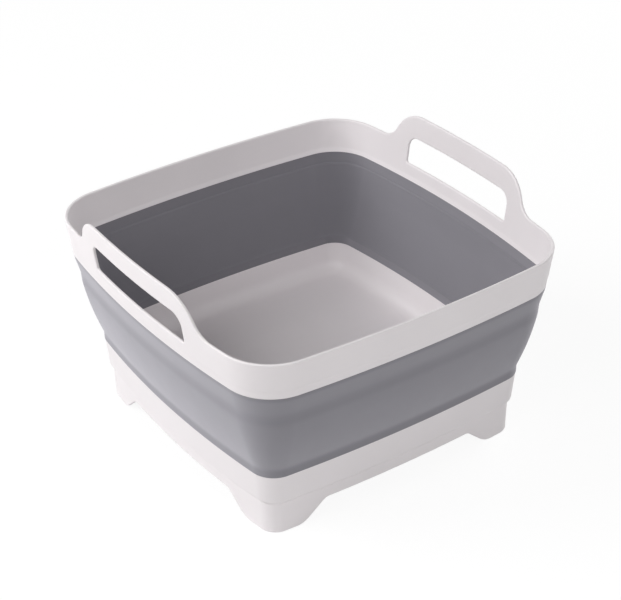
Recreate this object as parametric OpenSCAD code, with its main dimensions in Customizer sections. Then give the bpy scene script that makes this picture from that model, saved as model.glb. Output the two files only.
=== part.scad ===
// Folding washing-up bowl. A rigid rim with two loop handles and a rigid tray on four feet are
// joined by a soft wall that folds between them, so the rim can be pressed down over the tray.
// A stopper closes the drain in the tray's floor.
// Every wall follows one plan outline, a square with bowed sides and round corners. A section is
// drawn as [inset, height], where the inset is measured inwards from the rim's outer top edge.
// The handles lean out past that edge, so their insets are negative.
// The origin is on the ground below the middle of the bowl, and the handles are at +X and -X.

/* [Plan outline] */
// Half of the distance across the two handle sides, at the rim
half_length = 157; // [150:1:164]
// Half of the distance across the two plain sides, at the rim
half_width = 156; // [150:1:164]
// Radius of the four corners, at the rim
corner_radius = 44.5; // [42:0.5:50]
// How far the handle sides bow outwards in the middle
handle_side_bow = 14; // [10:0.5:16]
// How far the plain sides bow outwards in the middle
plain_side_bow = 9; // [8:0.5:14]

/* [Rim and handles] */
// Height of the rim's top edge above the ground
rim_top = 174; // [170:1:180]
// Height of the rim's lower edge outside, where the soft wall begins
rim_bottom = 142; // [140:0.5:144]
// Thickness of the rim and the handles
rim_wall = 2.6; // [2.2:0.1:2.8]
// Angle at which the rim and the handles lean outwards
rim_lean = 7.5; // [6:0.5:8]
// Height of the handles' top edge above the ground
handle_top = 202.5; // [198:0.5:210]
// Half of the distance between the centres of a handle's round top corners
handle_half_span = 52; // [46:1:54]
// Radius of a handle's round top corners
handle_corner_radius = 31; // [26:1:32]
// Radius of the hollow curve where a handle runs down into the rim
handle_root_radius = 18; // [12:1:20]
// Half of the length of the finger slot
slot_half_length = 64; // [55:1:66]
// Height of the finger slot's lower edge above the ground
slot_bottom = 158; // [156:0.5:162]
// Height of the finger slot's upper edge above the ground
slot_top = 182.5; // [179:0.5:184]
// Radius of the finger slot's upper corners
slot_upper_radius = 10; // [6:1:11]
// Radius of the finger slot's lower corners
slot_lower_radius = 2; // [1:0.5:4]

/* [Soft wall] */
// Height of the upper fold line
upper_fold = 124; // [120:1:126]
// Height of the lower fold line
lower_fold = 64; // [62:0.5:66]
// How far the soft wall bulges outwards between its fold lines
soft_bulge = 1.4; // [0.5:0.1:3]
// Thickness of the soft wall
soft_wall = 2.4; // [2:0.1:2.5]

/* [Tray] */
// Height of the tray's outer wall, where the soft wall begins
tray_top = 57; // [55:0.5:59]
// Height of the floor inside the bowl
floor_top = 37; // [36:0.5:39]
// Thickness of the floor
floor_thickness = 2.5; // [2:0.1:3]
// Radius between the floor and the wall inside the bowl
floor_fillet = 13; // [6:0.5:13]
// Height of the ledge where the tray's wall steps in to its skirt
ledge = 27.5; // [25:0.5:29]
// Thickness of the skirt and the feet
skirt_wall = 2.4; // [2:0.1:3]

/* [Feet] */
// Height of the openings between the feet
arch_height = 17.5; // [12:0.5:19]
// Half of the length of an opening, at its top
arch_half_length = 70; // [60:1:76]
// Radius of the openings' upper corners
arch_corner_radius = 6; // [3:0.5:10]
// Radius of the feet's round lower corners
foot_radius = 20; // [12:1:22]
// Angle of the feet's sloping sides to the ground
foot_slope = 41; // [36:1:50]

/* [Drain] */
// Distance from the middle of the floor to the drain
drain_offset = 40; // [36:1:70]
// Radius of the drain hole
drain_radius = 16; // [14:0.5:18]
// Width of the seat round the drain hole
seat_width = 5; // [4:0.5:7]
// Depth of the seat below the floor
seat_depth = 1.2; // [0.8:0.1:1.4]
// How far the collar round the drain hole hangs below the floor
collar_drop = 7; // [5:0.5:9]
// Thickness of the collar's wall
collar_wall = 2.4; // [2:0.1:3]
// Thickness of the stopper's flange
flange_thickness = 2.4; // [1.8:0.1:3]
// Gap between the stopper's sealing ribs and the drain hole, all round
stopper_gap = 0.3; // [0.2:0.05:0.4]
// Radius of the stopper's pull loop, to the middle of its bar
loop_radius = 10; // [8:0.5:12]
// Thickness of the pull loop's bar
loop_thickness = 4; // [3:0.5:5]

/* [Hidden] */

// Colours of the two plastics
off_white = [0.93, 0.92, 0.90];
mid_grey = [0.47, 0.47, 0.50];

// Steps along the outline's side arcs and corner arcs, and points all round it
side_steps = 12;
corner_steps = 10;
stations = 4 * (side_steps + corner_steps);
// Steps in a section's curved stretches
curve_steps = 5;
// Facets of a full turn on small curves
small_facets = 64;
// How far cutting shapes reach past what they cut
past = 5;
// Half of the length of shapes that cut right through the bowl
far = 200;

// Radii of the side arcs, from each side's length and bow
handle_side_radius = (half_width ^ 2 + handle_side_bow ^ 2) / (2 * handle_side_bow);
plain_side_radius = (half_length ^ 2 + plain_side_bow ^ 2) / (2 * plain_side_bow);
// Centres of the side arcs, on the X and Y axes beyond the opposite side
handle_side_centre = [half_length - handle_side_radius, 0];
plain_side_centre = [0, half_width - plain_side_radius];
// A corner arc touches two side arcs from inside, so its centre is this far from their centres
handle_side_reach = handle_side_radius - corner_radius;
plain_side_reach = plain_side_radius - corner_radius;
corner_centre = meeting_point(
    handle_side_centre, handle_side_reach,
    plain_side_centre, plain_side_reach
);
// Half of the angle that each side arc turns through
handle_side_angle = atan2(corner_centre[1], corner_centre[0] - handle_side_centre[0]);
plain_side_angle = atan2(corner_centre[0], corner_centre[1] - plain_side_centre[1]);

// The rim's section: a leaning wall with a shallow step to a collar over the soft wall
step_height = rim_bottom + 6.4;
step_depth = 0.4;
collar_inset = 4.3;
rim_inner_inset = 7.2;
rim_inner_bottom = rim_bottom + 2.4;
// The tongue below the rim's edge that the soft wall is moulded round
tongue_inset = 5.6;
tongue_thickness = 1;
tongue_bottom = rim_bottom - 5;

// The soft wall's outer face, from the top down
soft_top_inset = 4.5;
slope_start = rim_bottom - 3;
slope_start_inset = 4.7;
upper_fold_inset = 9;
bulge_start = upper_fold - 9;
bulge_start_inset = 9.3;
lower_fold_inset = 23.6;

// The tray's section, from the top down
tray_top_inset = 24;
lip_inset = 24.9;
lip_top = lower_fold - 0.5;
lip_inner_inset = 26.4;
tray_low_inset = 27.4;
tray_inner_low_inset = 28.4;
skirt_top_inset = 29.3;
skirt_bottom_inset = 29.7;

// The drain and its stopper
seat_radius = drain_radius + seat_width;
seat_height = floor_top - seat_depth;
collar_bottom = floor_top - floor_thickness - collar_drop;
collar_radius = drain_radius + collar_wall;
rib_size = 0.5;
stem_radius = drain_radius - stopper_gap - rib_size;
stem_wall = 2.4;
stem_bottom = collar_bottom - 1;
rib_pitch = 3;
flange_edge = 0.8;

// Where two circles meet, on the side of larger X and Y
function meeting_point(centre_a, radius_a, centre_b, radius_b) =
    let (
        gap = norm(centre_b - centre_a),
        along = (radius_a ^ 2 - radius_b ^ 2 + gap ^ 2) / (2 * gap),
        aside = sqrt(radius_a ^ 2 - along ^ 2),
        u = (centre_b - centre_a) / gap
    )
    centre_a + along * u + aside * [-u[1], u[0]];

// Points along an arc round a centre, from one angle up to another
function arc(centre, radius, from, to, steps) =
    [for (i = [0:steps])
        let (turn = from + (to - from) * i / steps)
        centre + radius * [cos(turn), sin(turn)]];

// The same without its last point, for arcs that follow each other
function open_arc(centre, radius, from, to, steps) =
    let (points = arc(centre, radius, from, to, steps))
    [for (i = [0:steps - 1]) points[i]];

// Points from p to q along an arc that bulges out to the left of that direction
function bulged(p, q, bulge, steps) =
    let (
        chord = norm(q - p),
        radius = (chord ^ 2 / 4 + bulge ^ 2) / (2 * bulge),
        half_turn = asin(chord / (2 * radius)),
        along = (q - p) / chord,
        left = [-along[1], along[0]],
        centre = (p + q) / 2 - left * (radius - bulge)
    )
    [for (i = [0:steps])
        let (turn = half_turn * (2 * i / steps - 1))
        centre + radius * (along * sin(turn) + left * cos(turn))];

// Points of the plan outline, drawn in by an inset: a handle side, a corner, a plain side and a
// corner, and the same again turned by half a turn
function outline_points(inset) =
    let (
        corner = corner_centre,
        next_corner = [-corner_centre[0], corner_centre[1]],
        handle_end = handle_side_angle,
        plain_start = 90 - plain_side_angle,
        plain_end = 90 + plain_side_angle,
        half = concat(
            open_arc(handle_side_centre, handle_side_radius - inset, -handle_end, handle_end, side_steps),
            open_arc(corner, corner_radius - inset, handle_end, plain_start, corner_steps),
            open_arc(plain_side_centre, plain_side_radius - inset, plain_start, plain_end, side_steps),
            open_arc(next_corner, corner_radius - inset, plain_end, 180 - handle_end, corner_steps)
        )
    )
    concat(half, -half);

// Points of a section carried round the plan outline, one ring for each point of the section
function swept_points(section) =
    [for (s = section)
        for (p = outline_points(s[0]))
            [p[0], p[1], s[1]]];

// Two triangles between each pair of neighbouring points on two rings
function band(ring_a, ring_b) =
    [for (i = [0:stations - 1])
        let (
            next = (i + 1) % stations,
            a = ring_a * stations,
            b = ring_b * stations
        )
        each [[a + i, a + next, b + next], [a + i, b + next, b + i]]];

// Carries a closed section round the plan outline
module sweep_ring(section) {
    rings = len(section);
    polyhedron(
        points = swept_points(section),
        faces = [for (r = [0:rings - 1]) each band(r, (r + 1) % rings)]
    );
}

// Carries an open section round the plan outline, closed by a level face at each end
module sweep_tub(section) {
    rings = len(section);
    last_ring = (rings - 1) * stations;
    polyhedron(
        points = swept_points(section),
        faces = concat(
            [[for (i = [stations - 1:-1:0]) i]],
            [for (r = [0:rings - 2]) each band(r, r + 1)],
            [[for (i = [0:stations - 1]) last_ring + i]]
        )
    );
}

// Extrudes a shape drawn as [Y, Z] right through the bowl along X
module through_x() {
    rotate([90, 0, 90])
        linear_extrude(height = 2 * far, center = true)
            children();
}

// The sliver between a sharp corner and its rounding, for edges that leave it at two angles
module corner_sliver(corner, angle_a, angle_b, radius) {
    u = [cos(angle_a), sin(angle_a)];
    v = [cos(angle_b), sin(angle_b)];
    half_corner = acos(u * v) / 2;
    centre = corner + (u + v) / norm(u + v) * radius / sin(half_corner);
    reach = radius / tan(half_corner);
    difference() {
        polygon([corner, corner + reach * u, centre, corner + reach * v]);
        translate(centre)
            circle(r = radius, $fn = small_facets);
    }
}

// Inset of the rim's outer face at a height
function rim_face(height) = (rim_top - height) * tan(rim_lean);

// The rim's section, as tall as the handles, with the tongue below its lower edge
function rim_section() =
    let (
        section_top = handle_top + past,
        tongue_inner = tongue_inset + tongue_thickness
    )
    [
        [rim_face(section_top), section_top],
        [rim_face(step_height), step_height],
        [rim_face(step_height) + step_depth, step_height],
        [collar_inset, rim_bottom],
        [tongue_inset, rim_bottom],
        [tongue_inset, tongue_bottom],
        [tongue_inner, tongue_bottom],
        [tongue_inner, rim_inner_bottom],
        [rim_inner_inset, rim_inner_bottom],
        [rim_face(step_height) + rim_wall, step_height],
        [rim_face(section_top) + rim_wall, section_top]
    ];

// A handle's plate as seen along X, from the rim's top edge up
module handle_outline() {
    corner_height = handle_top - handle_corner_radius;
    root_height = rim_top + handle_root_radius;
    centre_distance = handle_corner_radius + handle_root_radius;
    root_reach = sqrt(centre_distance ^ 2 - (root_height - corner_height) ^ 2);
    root_half_span = handle_half_span + root_reach;
    difference() {
        union() {
            translate([-handle_half_span, corner_height])
                square([2 * handle_half_span, handle_corner_radius]);
            for (side = [-1, 1]) {
                translate([side * handle_half_span, corner_height])
                    circle(r = handle_corner_radius, $fn = small_facets);
                polygon([
                    [side * handle_half_span, corner_height],
                    [side * root_half_span, root_height],
                    [side * root_half_span, corner_height]
                ]);
            }
        }
        for (side = [-1, 1])
            translate([side * root_half_span, root_height])
                circle(r = handle_root_radius, $fn = small_facets);
    }
}

// The finger slot as seen along X: round corners above, sharper ones where it cuts into the rim
module slot_outline() {
    difference() {
        translate([-slot_half_length, slot_bottom])
            square([2 * slot_half_length, slot_top - slot_bottom]);
        for (side = [0, 1])
            mirror([side, 0]) {
                corner_sliver([slot_half_length, slot_top], 180, 270, slot_upper_radius);
                corner_sliver([slot_half_length, slot_bottom], 180, 90, slot_lower_radius);
            }
    }
}

// The opening between two feet: sloping sides, round corners above, and feet with round corners
module arch_outline() {
    // The feet's round corners run a little below the ground, which cuts them off flat
    ground_sink = 0.4;
    run_out = (arch_height + ground_sink) / tan(foot_slope);
    foot_corner = arch_half_length + run_out;
    corner_reach = foot_radius * tan(foot_slope / 2);
    difference() {
        union() {
            polygon([
                [-foot_corner, -ground_sink],
                [-arch_half_length, arch_height],
                [arch_half_length, arch_height],
                [foot_corner, -ground_sink]
            ]);
            translate([-foot_corner - corner_reach, -past])
                square([2 * (foot_corner + corner_reach), past - ground_sink]);
            for (side = [0, 1])
                mirror([side, 0])
                    corner_sliver([foot_corner, -ground_sink], 0, 180 - foot_slope, foot_radius);
        }
        for (side = [0, 1])
            mirror([side, 0])
                corner_sliver([arch_half_length, arch_height], 180, -foot_slope, arch_corner_radius);
    }
}

// The tray's section, from the middle of the floor's top to the middle of its underside: the
// rounded foot of the wall, a lip for the soft wall, a sloping ledge, and the skirt
function tray_section() =
    let (
        floor_bottom = floor_top - floor_thickness,
        fillet_centre = [tray_inner_low_inset + floor_fillet, floor_top + floor_fillet]
    )
    concat(
        arc(fillet_centre, floor_fillet, 270, 180, curve_steps),
        [
            [lip_inner_inset, lip_top],
            [lip_inset, lip_top],
            [lip_inset, tray_top],
            [tray_top_inset, tray_top],
            [tray_low_inset, ledge + 3.5],
            [skirt_top_inset, ledge],
            [skirt_bottom_inset, 0],
            [skirt_bottom_inset + skirt_wall, 0],
            [skirt_top_inset + skirt_wall, floor_bottom]
        ]
    );

// The soft wall's section, up its outer face and down its inner one: it grips the tray's lip and
// the rim's tongue, and bulges out between its two fold lines
function soft_section() =
    let (
        tongue_inner = tongue_inset + tongue_thickness,
        outer_start = [bulge_start_inset, bulge_start],
        inner_start = [bulge_start_inset + soft_wall, bulge_start]
    )
    concat(
        [[lip_inset, tray_top], [lower_fold_inset, tray_top]],
        bulged([lower_fold_inset, lower_fold], outer_start, soft_bulge, curve_steps),
        [
            [upper_fold_inset, upper_fold],
            [slope_start_inset, slope_start],
            [soft_top_inset, rim_bottom],
            [tongue_inset, rim_bottom],
            [tongue_inset, tongue_bottom],
            [tongue_inner, tongue_bottom],
            [tongue_inner, rim_inner_bottom],
            [rim_inner_inset, rim_inner_bottom],
            [slope_start_inset + soft_wall, slope_start],
            [upper_fold_inset + soft_wall, upper_fold]
        ],
        bulged(inner_start, [lip_inner_inset, lip_top], -soft_bulge, curve_steps),
        [[lip_inset, lip_top]]
    );

// The stopper's section: a flange, a hollow stem and two sealing ribs round it
module stopper_section() {
    flange_top = seat_height + flange_thickness;
    flange_radius = seat_radius - stopper_gap;
    polygon([
        [0, flange_top],
        [flange_radius - flange_edge, flange_top],
        [flange_radius, flange_top - flange_edge],
        [flange_radius, seat_height],
        [stem_radius, seat_height],
        [stem_radius, stem_bottom],
        [stem_radius - stem_wall, stem_bottom],
        [stem_radius - stem_wall, seat_height],
        [0, seat_height]
    ]);
    for (rib = [1, 2])
        translate([stem_radius, seat_height - rib * rib_pitch])
            circle(r = rib_size, $fn = small_facets);
}

// The rigid tray: wall, floor, skirt, four feet, and the drain's seat and collar
module base_tray() {
    color(off_white)
        difference() {
            union() {
                difference() {
                    sweep_tub(tray_section());
                    through_x()
                        arch_outline();
                    rotate([0, 0, 90])
                        through_x()
                            arch_outline();
                }
                translate([0, -drain_offset, collar_bottom])
                    cylinder(r = collar_radius, h = seat_height - collar_bottom, $fn = small_facets);
            }
            translate([0, -drain_offset, collar_bottom - past])
                cylinder(r = drain_radius, h = floor_top, $fn = small_facets);
            translate([0, -drain_offset, seat_height])
                cylinder(r = seat_radius, h = past, $fn = small_facets);
        }
}

// The soft wall between the tray and the rim
module folding_wall() {
    color(mid_grey)
        sweep_ring(soft_section());
}

// The rigid rim with its two loop handles
module rim_frame() {
    color(off_white)
        difference() {
            sweep_ring(rim_section());
            through_x()
                difference() {
                    translate([-far, rim_top])
                        square([2 * far, far]);
                    handle_outline();
                }
            through_x()
                slot_outline();
        }
}

// The soft stopper in the drain, with a loop to pull it out by
module drain_plug() {
    loop_foot = seat_height + flange_thickness / 2;
    color(mid_grey)
        translate([0, -drain_offset, 0]) {
            rotate_extrude($fn = small_facets)
                stopper_section();
            translate([0, 0, loop_foot])
                rotate([90, 0, 0])
                    rotate_extrude(angle = 180, $fn = small_facets)
                        translate([loop_radius, 0])
                            circle(d = loop_thickness, $fn = small_facets);
        }
}

base_tray();
folding_wall();
rim_frame();
drain_plug();
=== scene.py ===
"""Looks of a folding washing-up bowl: a rigid rim with two loop handles, a soft folding wall, a
rigid tray on four feet, and a soft stopper in the tray's drain.

Lengths are in millimetres until a mesh is made. Every wall follows one plan outline. A wall's
section is a line of points (inset, height), where the inset is measured in from the rim's outer
top edge. The outline is divided into columns, and a column number may have a fraction. The
camera, the lamps, the floor and the materials are in metres.
"""

import math

import bmesh
import bpy
import numpy as np
from mathutils import Matrix, Vector


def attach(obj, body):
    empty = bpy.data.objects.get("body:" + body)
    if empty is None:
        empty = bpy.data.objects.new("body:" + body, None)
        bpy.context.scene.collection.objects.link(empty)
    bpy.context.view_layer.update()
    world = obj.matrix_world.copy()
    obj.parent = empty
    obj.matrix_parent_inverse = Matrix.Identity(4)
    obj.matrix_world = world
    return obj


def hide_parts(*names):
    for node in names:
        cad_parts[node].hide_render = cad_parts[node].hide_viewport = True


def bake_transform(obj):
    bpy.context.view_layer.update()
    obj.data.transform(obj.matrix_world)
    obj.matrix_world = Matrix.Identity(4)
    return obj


MM = 0.001

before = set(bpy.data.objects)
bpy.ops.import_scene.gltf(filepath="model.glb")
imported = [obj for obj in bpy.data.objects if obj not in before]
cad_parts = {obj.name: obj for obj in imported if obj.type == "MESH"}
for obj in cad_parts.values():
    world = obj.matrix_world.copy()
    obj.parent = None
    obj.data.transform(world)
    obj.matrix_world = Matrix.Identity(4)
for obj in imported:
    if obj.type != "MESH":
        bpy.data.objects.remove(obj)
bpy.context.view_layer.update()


# Sizes, which repeat part.scad's values

HALF_LENGTH, HALF_WIDTH, CORNER_RADIUS = 157.0, 156.0, 44.5
HANDLE_SIDE_BOW, PLAIN_SIDE_BOW = 14.0, 9.0

RIM_TOP, RIM_BOTTOM, RIM_WALL, RIM_LEAN = 174.0, 142.0, 2.6, 7.5
HANDLE_TOP, HANDLE_HALF_SPAN, HANDLE_CORNER_RADIUS, HANDLE_ROOT_RADIUS = 202.5, 52.0, 31.0, 18.0
SLOT_HALF_LENGTH, SLOT_BOTTOM, SLOT_TOP = 64.0, 158.0, 182.5
SLOT_UPPER_RADIUS, SLOT_LOWER_RADIUS = 10.0, 2.0

RIM_COLLAR_INSET, RIM_INNER_INSET, RIM_INNER_BOTTOM = 4.3, 7.2, 144.4
TONGUE_OUTER, TONGUE_INNER, TONGUE_BOTTOM = 5.6, 6.6, 137.0

SOFT_TOP_INSET, SOFT_BULGE = 4.5, 1.4
UPPER_FOLD, BULGE_TOP, BULGE_TOP_INSET = 124.0, 115.0, 9.3
LOWER_FOLD, LOWER_FOLD_INSET = 64.0, 23.6

TRAY_TOP, FLOOR_TOP, FLOOR_BOTTOM, LEDGE, SKIRT_WALL = 57.0, 37.0, 34.5, 27.5, 2.4
TRAY_TOP_INSET, LIP_INSET, SKIRT_TOP_INSET, SKIRT_BOTTOM_INSET = 24.0, 24.9, 29.3, 29.7
ARCH_HEIGHT, ARCH_HALF_LENGTH, ARCH_CORNER_RADIUS = 17.5, 70.0, 6.0
FOOT_RADIUS, FOOT_SLOPE, GROUND_SINK = 20.0, 41.0, 0.4

DRAIN_Y, DRAIN_RADIUS, SEAT_RADIUS, SEAT_HEIGHT = -40.0, 16.0, 21.0, 35.8
COLLAR_RADIUS, COLLAR_BOTTOM = 18.4, 27.5
FLANGE_RADIUS, FLANGE_THICKNESS, STEM_RADIUS, STEM_WALL, STEM_BOTTOM = 20.7, 2.4, 15.2, 2.4, 26.5
RIB_SIZE, RIB_PITCH, LOOP_RADIUS, LOOP_THICKNESS = 0.5, 3.0, 10.0, 4.0


# Camera, as fitted to the rim, band and foot outlines in the photograph

PHOTO_WIDTH = 621
FOCAL_PIXELS = 1763.9
SENSOR_WIDTH = 36
FARTHEST_SEEN = 20
AZIMUTH, ELEVATION, ROLL = -34.88, 32.13, -0.6
DISTANCE = 1.4209
TARGET = Vector((0.00154, -0.00357, 0.10774))


def direction(azimuth, elevation):
    """Unit vector for angles in degrees. Azimuth 0 is at -Y and 90 at +X."""
    a, e = math.radians(azimuth), math.radians(elevation)
    return Vector((math.sin(a) * math.cos(e), -math.cos(a) * math.cos(e), math.sin(e)))


def link(obj):
    """Puts an object into the scene and returns it."""
    bpy.context.scene.collection.objects.link(obj)
    return obj


def make_camera():
    back = direction(AZIMUTH, ELEVATION)
    level_right = Vector((0, 0, 1)).cross(back).normalized()
    level_up = back.cross(level_right)
    r = math.radians(ROLL)
    right = math.cos(r) * level_right + math.sin(r) * level_up
    up = math.cos(r) * level_up - math.sin(r) * level_right
    data = bpy.data.cameras.new("camera")
    data.sensor_width = SENSOR_WIDTH
    data.lens = FOCAL_PIXELS * SENSOR_WIDTH / PHOTO_WIDTH
    data.clip_end = FARTHEST_SEEN
    camera = link(bpy.data.objects.new("camera", data))
    place = Matrix((right, up, back)).transposed().to_4x4()
    place.translation = TARGET + DISTANCE * back
    camera.matrix_world = place
    bpy.context.scene.camera = camera


make_camera()


# Plan outline

# Columns along a handle side, a plain side and a corner
HANDLE_COLUMNS, PLAIN_COLUMNS, CORNER_COLUMNS = 124, 100, 34


def meeting_point(centre_a, radius_a, centre_b, radius_b):
    """Where two circles meet, on the side of larger X and Y."""
    gap = np.linalg.norm(centre_b - centre_a)
    along = (radius_a ** 2 - radius_b ** 2 + gap ** 2) / (2 * gap)
    aside = math.sqrt(radius_a ** 2 - along ** 2)
    u = (centre_b - centre_a) / gap
    return centre_a + along * u + aside * np.array([-u[1], u[0]])


def make_outline():
    """The outline's arcs: the angle at each column, and the centre and radius after it."""
    handle_radius = (HALF_WIDTH ** 2 + HANDLE_SIDE_BOW ** 2) / (2 * HANDLE_SIDE_BOW)
    plain_radius = (HALF_LENGTH ** 2 + PLAIN_SIDE_BOW ** 2) / (2 * PLAIN_SIDE_BOW)
    handle_centre = np.array([HALF_LENGTH - handle_radius, 0.0])
    plain_centre = np.array([0.0, HALF_WIDTH - plain_radius])
    corner = meeting_point(
        handle_centre, handle_radius - CORNER_RADIUS, plain_centre, plain_radius - CORNER_RADIUS)
    handle_turn = math.atan2(corner[1], corner[0] - handle_centre[0])
    plain_turn = math.atan2(corner[0], corner[1] - plain_centre[1])
    plain_start, plain_end = math.pi / 2 - plain_turn, math.pi / 2 + plain_turn
    mirror = np.array([-1.0, 1.0])
    half = [
        (handle_centre, handle_radius, -handle_turn, handle_turn, HANDLE_COLUMNS),
        (corner, CORNER_RADIUS, handle_turn, plain_start, CORNER_COLUMNS),
        (plain_centre, plain_radius, plain_start, plain_end, PLAIN_COLUMNS),
        (corner * mirror, CORNER_RADIUS, plain_end, math.pi - handle_turn, CORNER_COLUMNS),
    ]
    other = [(-c, r, a + math.pi, b + math.pi, n) for c, r, a, b, n in half]
    angles, centres, radii = [], [], []
    for c, r, a, b, n in half + other:
        angles += list(a + (b - a) * np.arange(n) / n)
        centres += [c] * n
        radii += [r] * n
    angles.append(angles[0] + 2 * math.pi)
    return np.array(angles), np.array(centres), np.array(radii)


ANGLES, CENTRES, RADII = make_outline()
COLUMNS = len(RADII)
# Columns in the middle of the handle sides, and of all four sides
HANDLE_MIDDLE = HANDLE_COLUMNS // 2
PLAIN_MIDDLE = HANDLE_COLUMNS + CORNER_COLUMNS + PLAIN_COLUMNS // 2
HANDLE_MIDDLES = [HANDLE_MIDDLE, HANDLE_MIDDLE + COLUMNS // 2]
SIDE_MIDDLES = HANDLE_MIDDLES + [PLAIN_MIDDLE, PLAIN_MIDDLE + COLUMNS // 2]


def on_wall(columns, insets, heights):
    """Points in space for column numbers, insets and heights."""
    columns = np.mod(np.asarray(columns, float), COLUMNS)
    whole = np.minimum(columns.astype(int), COLUMNS - 1)
    angle = ANGLES[whole] + (columns - whole) * (ANGLES[whole + 1] - ANGLES[whole])
    reach = RADII[whole] - insets
    x = CENTRES[whole, 0] + reach * np.cos(angle)
    y = CENTRES[whole, 1] + reach * np.sin(angle)
    return np.stack([x, y, np.broadcast_to(heights, x.shape)], axis=-1)


def ring(inset, height):
    """One point for each column, at one inset and height."""
    return on_wall(np.arange(COLUMNS), inset, height)


def distance_from_middles(middles, inset):
    """How far each column is, along the wall at this inset, from the nearest of these middles. The
    first column's distance is repeated at the end."""
    points = ring(inset, 0.0)[:, :2]
    steps = np.linalg.norm(np.roll(points, -1, axis=0) - points, axis=1)
    place = np.concatenate([[0], np.cumsum(steps)])
    length = place[-1]
    best = np.full(COLUMNS, np.inf)
    for middle in middles:
        gap = np.abs(place[:-1] - place[middle])
        gap = np.minimum(gap, length - gap)
        best = np.minimum(best, gap)
    return np.append(best, best[0])


# Sections

# Longest step along a straight stretch, and the turn at each step round a corner
STRAIGHT_STEP, CORNER_STEP = 3.0, math.radians(11)
# Share of a stretch that the rounding at one of its ends may take up
ROUNDING_SHARE = 0.49
# Half of the angle between two stretches that run nearly straight on
NEARLY_STRAIGHT = math.radians(89.8)
# Points closer together than this count as one
SAME_POINT = 1e-6


def rounded_path(corners, step=STRAIGHT_STEP):
    """Points along a line with its corners rounded. A corner is (inset, height, radius), and
    without a radius it stays sharp."""
    points = np.array([c[:2] for c in corners], float)
    radii = [c[2] if len(c) > 2 else 0.0 for c in corners]
    line = [points[0]]
    for i in range(1, len(points) - 1):
        if radii[i] <= 0:
            line.append(points[i])
            continue
        to_last, to_next = points[i - 1] - points[i], points[i + 1] - points[i]
        room = ROUNDING_SHARE * min(np.linalg.norm(to_last), np.linalg.norm(to_next))
        u, v = to_last / np.linalg.norm(to_last), to_next / np.linalg.norm(to_next)
        half = math.acos(max(-1.0, min(1.0, float(u @ v)))) / 2
        if half > NEARLY_STRAIGHT:
            line.append(points[i])
            continue
        radius = min(radii[i], room * math.tan(half))
        centre = points[i] + (u + v) / np.linalg.norm(u + v) * radius / math.sin(half)
        start = points[i] + u * radius / math.tan(half) - centre
        end = points[i] + v * radius / math.tan(half) - centre
        turn = math.copysign(math.pi - 2 * half, start[0] * end[1] - start[1] * end[0])
        count = max(2, math.ceil(abs(turn) / CORNER_STEP))
        for k in range(count + 1):
            c, s = math.cos(turn * k / count), math.sin(turn * k / count)
            turned = [c * start[0] - s * start[1], s * start[0] + c * start[1]]
            line.append(centre + np.array(turned))
    line.append(points[-1])
    fine = [line[0]]
    for p in line[1:]:
        gap = np.linalg.norm(p - fine[-1])
        if gap < SAME_POINT:
            continue
        count = max(1, math.ceil(gap / step))
        start = fine[-1]
        fine += [start + (p - start) * k / count for k in range(1, count + 1)]
    return [tuple(p) for p in fine]


def bulged(p, q, bulge, count):
    """Points from p to q along an arc that bulges out to the left of that direction."""
    p, q = np.array(p, float), np.array(q, float)
    chord = np.linalg.norm(q - p)
    radius = (chord ** 2 / 4 + bulge ** 2) / (2 * bulge)
    half_turn = math.asin(chord / (2 * radius))
    along = (q - p) / chord
    left = np.array([-along[1], along[0]])
    centre = (p + q) / 2 - left * (radius - bulge)
    turns = half_turn * (2 * np.arange(count + 1) / count - 1)
    return [tuple(centre + radius * (along * math.sin(t) + left * math.cos(t))) for t in turns]


# Meshes

WELD_DISTANCE, SHORTEST_EDGE = 0.02, 0.005
# Faces that meet at more than this many degrees have a sharp edge between them
SHARP_ANGLE = 38


class Shell:
    """Points and faces of one piece, gathered part by part and welded at the end."""

    def __init__(self):
        self.points, self.faces, self.count = [], [], 0

    def add(self, points):
        points = np.asarray(points, float).reshape(-1, 3)
        first = self.count
        self.points.append(points)
        self.count += len(points)
        return first

    def loft(self, rings, closed=False):
        """Faces between neighbouring rings of points, and if closed from the last to the first."""
        size = len(rings[0])
        first = self.add(np.concatenate(rings))
        starts = [first + k * size for k in range(len(rings))]
        pairs = list(zip(starts, starts[1:])) + ([(starts[-1], starts[0])] if closed else [])
        for a, b in pairs:
            for i in range(size):
                j = (i + 1) % size
                self.faces.append((a + i, a + j, b + j, b + i))

    def piece(self, name):
        """The welded mesh as an object, in metres."""
        mesh = bpy.data.meshes.new(name)
        mesh.from_pydata((np.concatenate(self.points) * MM).tolist(), [], self.faces)
        work = bmesh.new()
        work.from_mesh(mesh)
        bmesh.ops.remove_doubles(work, verts=work.verts, dist=WELD_DISTANCE * MM)
        bmesh.ops.dissolve_degenerate(work, edges=work.edges, dist=SHORTEST_EDGE * MM)
        bmesh.ops.recalc_face_normals(work, faces=work.faces)
        open_edges = sum(1 for e in work.edges if len(e.link_faces) != 2)
        work.to_mesh(mesh)
        work.free()
        print(f"{name}: {len(mesh.polygons)} faces, {open_edges} open edges")
        mesh.polygons.foreach_set("use_smooth", [True] * len(mesh.polygons))
        mesh.set_sharp_from_angle(angle=math.radians(SHARP_ANGLE))
        keep_rest_positions(mesh)
        return link(bpy.data.objects.new(name, mesh))


def keep_rest_positions(mesh):
    """Stores where each point is at rest, so that a material's grain stays put as a wall folds."""
    rest = np.zeros(len(mesh.vertices) * 3, np.float32)
    mesh.vertices.foreach_get("co", rest)
    mesh.attributes.new("rest_position", "FLOAT_VECTOR", "POINT").data.foreach_set("vector", rest)


# Walls with openings and shaped edges

# Lines of edges start past the middle of a side and end past the corners
PAST_MIDDLE, PAST_CORNER = -30, 400
# Points that are compared with all edges at a time, and halvings that find where an edge crosses
BATCH, HALVINGS = 4000, 22
# How far the band along a cut edge reaches in from the start of its rounding
EDGE_BAND = 0.7
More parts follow.
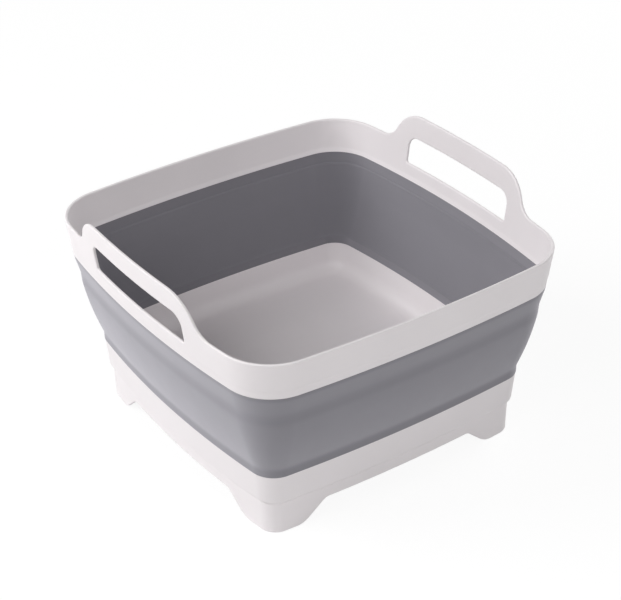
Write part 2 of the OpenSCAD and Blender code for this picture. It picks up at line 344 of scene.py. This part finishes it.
# Steps round a quarter of an edge's rounding
QUARTER_STEPS = 6
# Distances below which a point lies on its edge, and a way runs straight up or down
ON_EDGE, UPRIGHT = 1e-9, 1e-6


class Edges:
    """The cut edges of a wall, as lines of points (distance from a side's middle, height), and a
    function that says which points are in the wall."""

    def __init__(self, lines, inside):
        self.starts = np.concatenate([line[:-1] for line in lines])
        self.ends = np.concatenate([line[1:] for line in lines])
        self.inside = inside

    def nearest(self, points):
        """Signed distance to the edges, negative in the wall, and the unit vector towards them."""
        found, ways = [], []
        span = self.ends - self.starts
        square = (span ** 2).sum(1)
        for part in np.array_split(points, max(1, len(points) // BATCH)):
            share = ((part[:, None] - self.starts) * span).sum(2) / square
            close = self.starts + np.clip(share, 0, 1)[..., None] * span
            way = close - part[:, None]
            gap = np.sqrt((way ** 2).sum(2))
            best = gap.argmin(1)
            rows = np.arange(len(part))
            found.append(gap[rows, best])
            ways.append(way[rows, best] / np.maximum(gap[rows, best], ON_EDGE)[:, None])
        found, ways = np.concatenate(found), np.concatenate(ways)
        return np.where(self.inside(points), -found, found), ways


def arc_points(centre, radius, start, end, count=24):
    """Points along an arc between two angles in degrees."""
    turns = np.radians(np.linspace(start, end, count + 1))
    return np.array(centre) + radius * np.stack([np.cos(turns), np.sin(turns)], axis=1)


def rim_edges():
    """The rim's top edge with a handle, and the finger slot."""
    reach = HANDLE_CORNER_RADIUS + HANDLE_ROOT_RADIUS
    corner = np.array([HANDLE_HALF_SPAN, HANDLE_TOP - HANDLE_CORNER_RADIUS])
    drop = RIM_TOP + HANDLE_ROOT_RADIUS - corner[1]
    root = corner + [math.sqrt(reach ** 2 - drop ** 2), drop]
    turn = math.degrees(math.atan2(*(root - corner)[::-1]))
    top = np.concatenate([
        [[PAST_MIDDLE, HANDLE_TOP]],
        arc_points(corner, HANDLE_CORNER_RADIUS, 90, turn),
        arc_points(root, HANDLE_ROOT_RADIUS, 180 + turn, 270),
        [[PAST_CORNER, RIM_TOP]],
    ])
    upper_centre = (SLOT_HALF_LENGTH - SLOT_UPPER_RADIUS, SLOT_TOP - SLOT_UPPER_RADIUS)
    lower_centre = (SLOT_HALF_LENGTH - SLOT_LOWER_RADIUS, SLOT_BOTTOM + SLOT_LOWER_RADIUS)
    upper = arc_points(upper_centre, SLOT_UPPER_RADIUS, 90, 0)
    lower = arc_points(lower_centre, SLOT_LOWER_RADIUS, 0, -90)
    slot = np.concatenate([
        [[PAST_MIDDLE, SLOT_TOP]], upper, lower, [[PAST_MIDDLE, SLOT_BOTTOM]]
    ])

    def inside(points):
        q, z = points[:, 0], points[:, 1]
        below_top = z < np.interp(q, top[:, 0], top[:, 1])
        slot_high = np.interp(q, upper[:, 0], upper[:, 1], left=SLOT_TOP)
        slot_low = np.interp(q, lower[::-1, 0], lower[::-1, 1], left=SLOT_BOTTOM)
        in_slot = (q < SLOT_HALF_LENGTH) & (z < slot_high) & (z > slot_low)
        return below_top & ~in_slot

    return Edges([top, slot], inside)


def skirt_edges():
    """The skirt's lower edge, with an arch in the middle of each side and round-cornered feet."""
    run_out = (ARCH_HEIGHT + GROUND_SINK) / math.tan(math.radians(FOOT_SLOPE))
    low = np.array(rounded_path([
        (PAST_MIDDLE, ARCH_HEIGHT),
        (ARCH_HALF_LENGTH, ARCH_HEIGHT, ARCH_CORNER_RADIUS),
        (ARCH_HALF_LENGTH + run_out, -GROUND_SINK, FOOT_RADIUS),
        (PAST_CORNER, -GROUND_SINK),
    ], step=100))
    low[:, 1] = np.maximum(low[:, 1], 0)

    def inside(points):
        return points[:, 1] > np.interp(points[:, 0], low[:, 0], low[:, 1])

    return Edges([low], inside)


def cut_plate(edges, distances, heights, depth):
    """The part of a wall that lies at least depth inside its cut edges, as a flat mesh of points
    (column, height), with the loops of points along those edges."""
    heights = np.asarray(heights, float)

    def at(columns, z):
        whole = np.minimum(columns.astype(int), COLUMNS - 1)
        q = distances[whole] + (columns - whole) * (distances[whole + 1] - distances[whole])
        return edges.nearest(np.stack([q, z], axis=1))[0] + depth

    grid_c, grid_z = np.meshgrid(np.arange(COLUMNS), heights, indexing="ij")
    value = at(grid_c.ravel().astype(float), grid_z.ravel()).reshape(grid_c.shape)
    held = value < 0
    number, points = {}, []

    def point(key, c, z):
        if key not in number:
            number[key] = len(points)
            points.append((c, z))
        return number[key]

    crossings = []
    for i in range(COLUMNS):
        n = (i + 1) % COLUMNS
        for j in range(len(heights)):
            if held[i, j] != held[n, j]:
                crossings.append((("h", i, j), i, heights[j], i + 1, heights[j], held[i, j]))
            if j + 1 < len(heights) and held[i, j] != held[i, j + 1]:
                crossings.append((("v", i, j), i, heights[j], i, heights[j + 1], held[i, j]))
    low = np.array([c[1:3] for c in crossings], float)
    high = np.array([c[3:5] for c in crossings], float)
    start_held = np.array([c[5] for c in crossings])
    near, far = np.zeros(len(low)), np.ones(len(low))
    for _ in range(HALVINGS):
        middle = (near + far) / 2
        here = low + (high - low) * middle[:, None]
        same = (at(here[:, 0], here[:, 1]) < 0) == start_held
        near, far = np.where(same, middle, near), np.where(same, far, middle)
    where = low + (high - low) * ((near + far) / 2)[:, None]
    crossing_at = {c[0]: w for c, w in zip(crossings, where)}

    faces, follows = [], {}
    for i in range(COLUMNS):
        n = (i + 1) % COLUMNS
        for j in range(len(heights) - 1):
            corners = [(i, j), (n, j), (n, j + 1), (i, j + 1)]
            inside = [held[c] for c in corners]
            if not any(inside):
                continue
            sides = [("h", i, j), ("v", n, j), ("h", i, j + 1), ("v", i, j)]
            face, leaving, entering = [], None, None
            for k in range(4):
                if inside[k]:
                    face.append(point(corners[k], corners[k][0], heights[corners[k][1]]))
                if inside[k] != inside[(k + 1) % 4]:
                    new = point(sides[k], *crossing_at[sides[k]])
                    face.append(new)
                    if inside[k]:
                        leaving = new
                    else:
                        entering = new
            faces.append(face)
            if leaving is not None:
                follows[leaving] = entering
    loops = []
    while follows:
        start = next(iter(follows))
        loop, here = [], start
        while here in follows:
            loop.append(here)
            here = follows.pop(here)
        loops.append(loop)
    return np.array(points), faces, loops


def add_cut_wall(shell, edges, distances, heights, outer, inner, thickness, rounding):
    """Both faces of a wall with openings, and the rounded edge between them. outer and inner give
    the insets of its two faces at a height."""
    depth = rounding + EDGE_BAND
    points, faces, loops = cut_plate(edges, distances, heights, depth)

    def place(c, z, share):
        return on_wall(c, outer(z) * (1 - share) + inner(z) * share, z)

    for share, flip in ((0.0, False), (1.0, True)):
        first = shell.add(place(points[:, 0], points[:, 1], share))
        for face in faces:
            shell.faces.append(tuple(first + v for v in (face[::-1] if flip else face)))
    turns = np.radians(np.linspace(0, 90, QUARTER_STEPS + 1))
    quarter = [(rounding * (1 - math.sin(t)), rounding * (1 - math.cos(t))) for t in turns]
    rows = [(depth, 0.0)] + quarter
    rows += [(e, thickness - n) for e, n in rows[::-1]]
    for loop in loops:
        c, z = points[loop, 0], points[loop, 1]
        whole = np.minimum(np.mod(c, COLUMNS).astype(int), COLUMNS - 1)
        slope = distances[whole + 1] - distances[whole]
        q = distances[whole] + (np.mod(c, COLUMNS) - whole) * slope
        ways = edges.nearest(np.stack([q, z], axis=1))[1]
        rings = []
        for e, n in rows:
            moved = depth - e
            across = np.where(np.abs(ways[:, 0]) > UPRIGHT, ways[:, 0] / slope, 0)
            rings.append(place(c + moved * across, z + moved * ways[:, 1], n / thickness))
        shell.loft(rings)


# The rim with its handles

RIM_ROUNDING = 1.15
# Above this height the rim is a wall with cut edges, and below it a plain section
RIM_CUT_BOTTOM = 151.0
# Rows of points in that wall, none of them at the height of a level edge
RIM_ROWS = np.concatenate([
    np.linspace(RIM_CUT_BOTTOM, RIM_TOP - 2.8, 9),
    np.linspace(RIM_TOP + 0.2, HANDLE_TOP + 1.7, 11),
])
# The shallow step outside, and the height at which the inside bends
STEP_TOP, STEP_BOTTOM, STEP_INSET = 148.7, 148.0, 3.72
INNER_BEND = 148.4


def rim_outer(z):
    return (RIM_TOP - z) * math.tan(math.radians(RIM_LEAN))


def rim_inner(z):
    return rim_outer(z) + RIM_WALL


def make_rim():
    shell = Shell()
    distances = distance_from_middles(HANDLE_MIDDLES, RIM_WALL / 2)
    add_cut_wall(
        shell, rim_edges(), distances, RIM_ROWS, rim_outer, rim_inner, RIM_WALL, RIM_ROUNDING)
    path = rounded_path([
        (rim_outer(RIM_CUT_BOTTOM), RIM_CUT_BOTTOM),
        (rim_outer(STEP_TOP), STEP_TOP, 0.6),
        (STEP_INSET, STEP_BOTTOM, 0.6),
        (RIM_COLLAR_INSET, RIM_BOTTOM, 0.4),
        (TONGUE_OUTER, RIM_BOTTOM),
        (TONGUE_OUTER, TONGUE_BOTTOM),
        (TONGUE_INNER, TONGUE_BOTTOM),
        (TONGUE_INNER, RIM_INNER_BOTTOM),
        (RIM_INNER_INSET, RIM_INNER_BOTTOM, 0.3),
        (rim_inner(INNER_BEND), INNER_BEND, 3.0),
        (rim_inner(RIM_CUT_BOTTOM), RIM_CUT_BOTTOM),
    ])
    shell.loft([ring(inset, z) for inset, z in path])
    return shell.piece("rim")


# The soft folding wall

# The inner seam with the tray: its height, and the insets of the two edges that meet there
INNER_SEAM, SOFT_SEAM_INSET, TRAY_SEAM_INSET = 62.3, 26.3, 26.45
# Inside, a narrow slope at each hinge line, from its upper to its lower edge
UPPER_HINGE_TOP, UPPER_HINGE_BOTTOM = (7.4, 134.6), (8.4, 133.4)
LOWER_HINGE_TOP, LOWER_HINGE_BOTTOM = (24.2, 71.0), (25.4, 69.6)
INNER_BULGE_TOP = (11.8, BULGE_TOP)
# Outside, where the wall starts to slope inwards below the rim, and the insets of its folds and
# of its foot on the tray
SLOPE_START, UPPER_CREST_INSET, LOWER_CREST_INSET, FOOT_INSET = (4.75, 139.0), 8.8, 23.5, 23.62
UPPER_ROUNDING, LOWER_ROUNDING, SEAM_ROUNDING = 34.0, 14.0, 0.25
BULGE_STEPS = 14


def make_folding_wall():
    outer_bulge = bulged(
        (LOWER_FOLD_INSET, LOWER_FOLD), (BULGE_TOP_INSET, BULGE_TOP), SOFT_BULGE, BULGE_STEPS)
    inner_bulge = bulged(INNER_BULGE_TOP, LOWER_HINGE_TOP, -SOFT_BULGE, BULGE_STEPS)
    corners = [
        (LIP_INSET, TRAY_TOP),
        (FOOT_INSET, TRAY_TOP, SEAM_ROUNDING),
        (LOWER_CREST_INSET, LOWER_FOLD, LOWER_ROUNDING),
        *outer_bulge[1:-1],
        (BULGE_TOP_INSET, BULGE_TOP, UPPER_ROUNDING),
        (UPPER_CREST_INSET, UPPER_FOLD, UPPER_ROUNDING),
        (*SLOPE_START, 10.0),
        (SOFT_TOP_INSET, RIM_BOTTOM, SEAM_ROUNDING),
        (TONGUE_OUTER, RIM_BOTTOM),
        (TONGUE_OUTER, TONGUE_BOTTOM),
        (TONGUE_INNER, TONGUE_BOTTOM),
        (TONGUE_INNER, RIM_INNER_BOTTOM),
        (RIM_INNER_INSET, RIM_INNER_BOTTOM, SEAM_ROUNDING),
        (*UPPER_HINGE_TOP, 1.2),
        (*UPPER_HINGE_BOTTOM, 1.5),
        *inner_bulge,
        (*LOWER_HINGE_BOTTOM, 1.0),
        (SOFT_SEAM_INSET, INNER_SEAM, SEAM_ROUNDING),
        (LIP_INSET, INNER_SEAM),
    ]
    path = rounded_path(corners + corners[:1])[:-1]
    shell = Shell()
    shell.loft([ring(inset, z) for inset, z in path], closed=True)
    return shell.piece("folding_wall_skin")


# The tray

SKIRT_ROUNDING = 0.9
# Below this height the tray is a wall with cut edges, and above it a plain section
SKIRT_CUT_TOP = 25.0
# Rows of points in that wall, none of them at the height of a level edge
SKIRT_ROWS = np.concatenate([[-0.5, 0.6], np.linspace(2.4, SKIRT_CUT_TOP, 9)])
# The floor is flat up to this inset, where the rounding up to the low wall begins
FLOOR_EDGE, FLOOR_FILLET = 42.4, 14.0
# Direction from that rounding's centre to its upper end, in degrees, and its steps
FILLET_END, FILLET_STEPS = 188.4, 12
# Where the low wall meets it: the inset, and the height above the floor
FILLET_TOP_INSET, FILLET_RISE = 28.55, 11.95
# Rings between the floor's edge and the drain, and how far the last one stays from the drain
FLOOR_RINGS, DRAIN_MARGIN = 12, 2.0
# The small slope from the skirt out to the low wall
LEDGE_SLOPE_BOTTOM, LEDGE_SLOPE_TOP, LEDGE_SLOPE_INSET = 28.0, 31.4, 26.3


def skirt_outer(z):
    return SKIRT_TOP_INSET + (SKIRT_BOTTOM_INSET - SKIRT_TOP_INSET) * (LEDGE - z) / LEDGE


def skirt_inner(z):
    return skirt_outer(z) + SKIRT_WALL


def circle_round_drain(radius, height, inset):
    """A circle round the drain, with a point towards each column of the outline."""
    away = ring(inset, 0.0) - [0.0, DRAIN_Y, 0.0]
    turns = np.arctan2(away[:, 1], away[:, 0])
    return np.stack([
        radius * np.cos(turns), DRAIN_Y + radius * np.sin(turns), np.full(COLUMNS, float(height))
    ], axis=1)


def tray_outside():
    """The section from the skirt up over the lip and down inside to the flat floor."""
    line = rounded_path([
        (skirt_outer(SKIRT_CUT_TOP), SKIRT_CUT_TOP),
        (SKIRT_TOP_INSET, LEDGE_SLOPE_BOTTOM, 1.0),
        (LEDGE_SLOPE_INSET, LEDGE_SLOPE_TOP, 1.5),
        (TRAY_TOP_INSET, TRAY_TOP, 0.35),
        (LIP_INSET, TRAY_TOP),
        (LIP_INSET, INNER_SEAM),
        (TRAY_SEAM_INSET, INNER_SEAM, 0.3),
        (FILLET_TOP_INSET, FLOOR_TOP + FILLET_RISE),
    ])
    fillet = arc_points(
        (FLOOR_EDGE, FLOOR_TOP + FLOOR_FILLET), FLOOR_FILLET, FILLET_END, 270, FILLET_STEPS)
    return line + list(fillet)


def tray_floor():
    """Rings from the floor's edge in to the drain, through it, and back out under the floor."""
    drain = rounded_path([
        (SEAT_RADIUS + DRAIN_MARGIN, FLOOR_TOP),
        (SEAT_RADIUS, FLOOR_TOP, 0.4),
        (SEAT_RADIUS, SEAT_HEIGHT),
        (DRAIN_RADIUS, SEAT_HEIGHT, 0.4),
        (DRAIN_RADIUS, COLLAR_BOTTOM, 0.6),
        (COLLAR_RADIUS, COLLAR_BOTTOM, 0.6),
        (COLLAR_RADIUS, FLOOR_BOTTOM, 0.8),
        (COLLAR_RADIUS + DRAIN_MARGIN, FLOOR_BOTTOM),
    ])
    circles = [circle_round_drain(r, z, FLOOR_EDGE) for r, z in drain]
    above, below = ring(FLOOR_EDGE, FLOOR_TOP), ring(FLOOR_EDGE, FLOOR_BOTTOM)
    shares = np.linspace(0, 1, FLOOR_RINGS)
    inwards = [above + (circles[0] - above) * share for share in shares]
    outwards = [circles[-1] + (below - circles[-1]) * share for share in shares]
    return inwards + circles[1:-1] + outwards


def make_tray():
    shell = Shell()
    middle_inset = (SKIRT_TOP_INSET + SKIRT_BOTTOM_INSET + SKIRT_WALL) / 2
    distances = distance_from_middles(SIDE_MIDDLES, middle_inset)
    add_cut_wall(
        shell, skirt_edges(), distances, SKIRT_ROWS, skirt_outer, skirt_inner, SKIRT_WALL,
        SKIRT_ROUNDING)
    underside = rounded_path([
        (FLOOR_EDGE, FLOOR_BOTTOM),
        (SKIRT_TOP_INSET + SKIRT_WALL, FLOOR_BOTTOM, 1.5),
        (skirt_inner(SKIRT_CUT_TOP), SKIRT_CUT_TOP),
    ])
    shell.loft([ring(inset, z) for inset, z in tray_outside()])
    shell.loft(tray_floor())
    shell.loft([ring(inset, z) for inset, z in underside])
    return shell.piece("tray")


# The stopper

FLANGE_TOP = SEAT_HEIGHT + FLANGE_THICKNESS
# The shallow dish in the flange's top: its depth, the radius of its floor and that of its edge
DISH_DEPTH, DISH_RADIUS, DISH_EDGE_RADIUS = 0.25, 13.4, 14.2
# Half of the height of a sealing rib
RIB_REACH = 0.6
# The lathe's section ends this far from its axis, so that the weld closes its middle
AXIS_GAP = 0.001
LATHE_STEPS, BAR_STEPS, LOOP_STEPS = 96, 28, 48
# How much thicker the loop's bar is at its foot, and how quickly that wears off above the flange
FOOT_SWELL, FOOT_FADE = 1.1, 0.9
# How much wider than deep the bar is at its foot, and the height at which it is round
FOOT_WIDENING, ROUND_ABOVE = 0.15, 3.0


def stopper_section():
    """The section of flange, hollow stem and sealing ribs, as points (radius, height)."""
    ribs = []
    for drop in (RIB_PITCH, 2 * RIB_PITCH):
        height = SEAT_HEIGHT - drop
        ribs += [
            (STEM_RADIUS, height + RIB_REACH, 0.2),
            (STEM_RADIUS + RIB_SIZE, height, 0.4),
            (STEM_RADIUS, height - RIB_REACH, 0.2),
        ]
    return rounded_path([
        (AXIS_GAP, FLANGE_TOP - DISH_DEPTH),
        (DISH_RADIUS, FLANGE_TOP - DISH_DEPTH),
        (DISH_EDGE_RADIUS, FLANGE_TOP, 0.6),
        (FLANGE_RADIUS, FLANGE_TOP, 0.9),
        (FLANGE_RADIUS, SEAT_HEIGHT, 0.3),
        (STEM_RADIUS, SEAT_HEIGHT),
        *ribs,
        (STEM_RADIUS, STEM_BOTTOM, 0.6),
        (STEM_RADIUS - STEM_WALL, STEM_BOTTOM, 0.6),
        (STEM_RADIUS - STEM_WALL, SEAT_HEIGHT, 0.8),
        (AXIS_GAP, SEAT_HEIGHT),
    ], step=1.5)


def pull_loop():
    """Rings round the bar of the pull loop, from one foot over to the other."""
    base = SEAT_HEIGHT + FLANGE_THICKNESS / 2
    around = np.radians(np.arange(BAR_STEPS) * 360 / BAR_STEPS)
    rings = []
    for turn in np.radians(np.linspace(0, 180, LOOP_STEPS + 1)):
        out = np.array([math.cos(turn), 0.0, math.sin(turn)])
        centre = np.array([0.0, DRAIN_Y, base]) + LOOP_RADIUS * out
        above = max(centre[2] - FLANGE_TOP, 0.0)
        depth = LOOP_THICKNESS / 2 + FOOT_SWELL * math.exp(-above / FOOT_FADE)
        width = depth * (1 + FOOT_WIDENING * max(1 - above / ROUND_ABOVE, 0.0))
        across, along = np.outer(np.cos(around), out), np.outer(np.sin(around), [0.0, 1.0, 0.0])
        rings.append(centre + width * across + depth * along)
    return rings


def make_stopper():
    shell = Shell()
    turns = np.radians(np.arange(LATHE_STEPS) * 360 / LATHE_STEPS)
    circle = np.stack([np.cos(turns), np.sin(turns), np.zeros(LATHE_STEPS)], axis=1)
    shell.loft([r * circle + [0.0, DRAIN_Y, z] for r, z in stopper_section()])
    loop = pull_loop()
    shell.loft(loop)
    for end in (loop[0], loop[-1]):
        first = shell.add(end)
        shell.faces.append(tuple(range(first, first + len(end))))
    return shell.piece("stopper")


rim = make_rim()
folding_wall = make_folding_wall()
tray = make_tray()
stopper = make_stopper()

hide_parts("rim_frame")
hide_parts("folding_wall")
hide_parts("base_tray")
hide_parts("drain_plug")
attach(rim, "rim")
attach(tray, "tray")
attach(stopper, "stopper")
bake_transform(folding_wall)


# Materials

# Patches of colour, patches of roughness and waves that go into a metre
COLOUR_PATCHES, ROUGHNESS_PATCHES, WAVES = 18, 60, 35
# Noise seldom leaves this range, which is spread over the whole of a material's own range
NOISE_LOW, NOISE_HIGH = 0.3, 0.7
# The mix node's colour sockets share their names with its other kinds, so they go by number
MIX_COLOUR_A, MIX_COLOUR_B, MIX_RESULT = 6, 7, 2
SHEEN_ROUGHNESS = 0.75
SHEEN_TINT = (0.95, 0.93, 1.0, 1)


def make_plastic(
        name, colour, shade, roughness, spread, grain, grain_depth, wave_depth, sheen, specular):
    """A moulded plastic. shade is how much its colour drifts, spread how much its roughness does,
    grain how many grains go into a metre, sheen how strongly it glows where it is seen at a
    grazing angle, and specular the strength of its reflections. Depths are in millimetres."""
    material = bpy.data.materials.new(name)
    material.use_nodes = True
    nodes, links = material.node_tree.nodes, material.node_tree.links
    shader = nodes["Principled BSDF"]
    shader.inputs["Specular IOR Level"].default_value = specular
    shader.inputs["Sheen Weight"].default_value = sheen
    shader.inputs["Sheen Roughness"].default_value = SHEEN_ROUGHNESS
    shader.inputs["Sheen Tint"].default_value = SHEEN_TINT
    place = nodes.new("ShaderNodeAttribute")
    place.attribute_name = "rest_position"

    def noise(scale, detail, rough=0.5):
        node = nodes.new("ShaderNodeTexNoise")
        node.inputs["Scale"].default_value = scale
        node.inputs["Detail"].default_value = detail
        node.inputs["Roughness"].default_value = rough
        links.new(place.outputs["Vector"], node.inputs["Vector"])
        return node.outputs["Fac"]

    def spread_out(value, low, high):
        node = nodes.new("ShaderNodeMapRange")
        node.inputs["From Min"].default_value = NOISE_LOW
        node.inputs["From Max"].default_value = NOISE_HIGH
        node.inputs["To Min"].default_value = low
        node.inputs["To Max"].default_value = high
        links.new(value, node.inputs["Value"])
        return node.outputs["Result"]

    def bump(height, depth):
        node = nodes.new("ShaderNodeBump")
        node.inputs["Strength"].default_value = 1.0
        node.inputs["Distance"].default_value = depth * MM
        links.new(height, node.inputs["Height"])
        return node

    tint = nodes.new("ShaderNodeMix")
    tint.data_type = "RGBA"
    tint.inputs[MIX_COLOUR_A].default_value = (*[c * (1 - shade) for c in colour], 1)
    tint.inputs[MIX_COLOUR_B].default_value = (*[c * (1 + shade) for c in colour], 1)
    links.new(spread_out(noise(COLOUR_PATCHES, 3), 0, 1), tint.inputs["Factor"])
    links.new(tint.outputs[MIX_RESULT], shader.inputs["Base Color"])

    rough = spread_out(noise(ROUGHNESS_PATCHES, 4, 0.6), roughness - spread, roughness + spread)
    links.new(rough, shader.inputs["Roughness"])

    wave = bump(noise(WAVES, 1), wave_depth)
    fine = bump(noise(grain, 2), grain_depth)
    links.new(wave.outputs["Normal"], fine.inputs["Normal"])
    links.new(fine.outputs["Normal"], shader.inputs["Normal"])
    return material


white_plastic = make_plastic(
    "off_white_polypropylene", colour=(0.825, 0.785, 0.798), shade=0.012, roughness=0.42,
    spread=0.04, grain=1400, grain_depth=0.012, wave_depth=0.06, sheen=0.0, specular=0.5)
grey_plastic = make_plastic(
    "grey_soft_elastomer", colour=(0.115, 0.112, 0.128), shade=0.03, roughness=0.55,
    spread=0.05, grain=1800, grain_depth=0.03, wave_depth=0.12, sheen=0.65, specular=0.25)

for piece, material in ((rim, white_plastic), (tray, white_plastic),
                        (folding_wall, grey_plastic), (stopper, grey_plastic)):
    piece.data.materials.append(material)


# Floor, light and background

FLOOR_HALF_SIZE, FLOOR_CELLS = 6, 8
# Grey of the floor that lights the object. The floor that is seen is a glow on a darker grey,
# in which the shadows show
FLOOR_GREY, SHADOW_GREY, FLOOR_GLOW = 0.8, 0.12, 0.91
# Strength of the world as a light, and as the background that is seen
WORLD_FILL, WORLD_SHOWN = 0.06, 1.0
# Azimuth, elevation and power of each lamp, and the distance, size and aim of them all
LAMPS = {
    "key": (-120, 34, 35),
    "side": (-78, 38, 12),
    "front": (4, 26, 17.5),
    "far side": (110, 25, 14),
}
LAMP_DISTANCE, LAMP_SIZE = 2.2, 1.3
LAMP_AIM = Vector((0, 0, 0.1))


def background_rays(nodes, links):
    """1 for the rays that show the white background: those from the camera, and those that a
    surface reflects or lets through."""
    path = nodes.new("ShaderNodeLightPath")
    total = path.outputs["Is Camera Ray"]
    for kind in ("Is Glossy Ray", "Is Transmission Ray"):
        larger = nodes.new("ShaderNodeMath")
        larger.operation = "MAXIMUM"
        links.new(total, larger.inputs[0])
        links.new(path.outputs[kind], larger.inputs[1])
        total = larger.outputs[0]
    return total


def make_floor():
    work = bmesh.new()
    bmesh.ops.create_grid(
        work, x_segments=FLOOR_CELLS, y_segments=FLOOR_CELLS, size=FLOOR_HALF_SIZE)
    mesh = bpy.data.meshes.new("floor")
    work.to_mesh(mesh)
    work.free()
    floor = link(bpy.data.objects.new("floor", mesh))
    material = bpy.data.materials.new("pale_floor")
    material.use_nodes = True
    nodes, links = material.node_tree.nodes, material.node_tree.links
    nodes.remove(nodes["Principled BSDF"])
    lit = nodes.new("ShaderNodeBsdfDiffuse")
    lit.inputs["Color"].default_value = (FLOOR_GREY, FLOOR_GREY, FLOOR_GREY, 1)
    shown_lit = nodes.new("ShaderNodeBsdfDiffuse")
    shown_lit.inputs["Color"].default_value = (SHADOW_GREY, SHADOW_GREY, SHADOW_GREY, 1)
    glow = nodes.new("ShaderNodeEmission")
    glow.inputs["Strength"].default_value = FLOOR_GLOW
    shown = nodes.new("ShaderNodeAddShader")
    links.new(shown_lit.outputs[0], shown.inputs[0])
    links.new(glow.outputs[0], shown.inputs[1])
    choose = nodes.new("ShaderNodeMixShader")
    links.new(background_rays(nodes, links), choose.inputs["Fac"])
    links.new(lit.outputs[0], choose.inputs[1])
    links.new(shown.outputs[0], choose.inputs[2])
    links.new(choose.outputs[0], nodes["Material Output"].inputs["Surface"])
    mesh.materials.append(material)


def make_world():
    world = bpy.data.worlds.new("world")
    bpy.context.scene.world = world
    world.use_nodes = True
    nodes, links = world.node_tree.nodes, world.node_tree.links
    background = nodes["Background"]
    strength = nodes.new("ShaderNodeMix")
    strength.inputs["A"].default_value = WORLD_FILL
    strength.inputs["B"].default_value = WORLD_SHOWN
    links.new(background_rays(nodes, links), strength.inputs["Factor"])
    links.new(strength.outputs["Result"], background.inputs["Strength"])
    background.inputs["Color"].default_value = (1, 1, 1, 1)


def make_lamp(name, azimuth, elevation, power):
    """A square soft box that faces the bowl."""
    data = bpy.data.lights.new(name, "AREA")
    data.shape = "SQUARE"
    data.size = LAMP_SIZE
    data.energy = power
    lamp = link(bpy.data.objects.new(name, data))
    back = direction(azimuth, elevation)
    lamp.location = LAMP_AIM + LAMP_DISTANCE * back
    lamp.rotation_euler = back.to_track_quat("Z", "Y").to_euler()


make_floor()
make_world()
for lamp_name, (azimuth, elevation, power) in LAMPS.items():
    make_lamp(lamp_name, azimuth, elevation, power)

bpy.context.scene.view_settings.view_transform = "Standard"
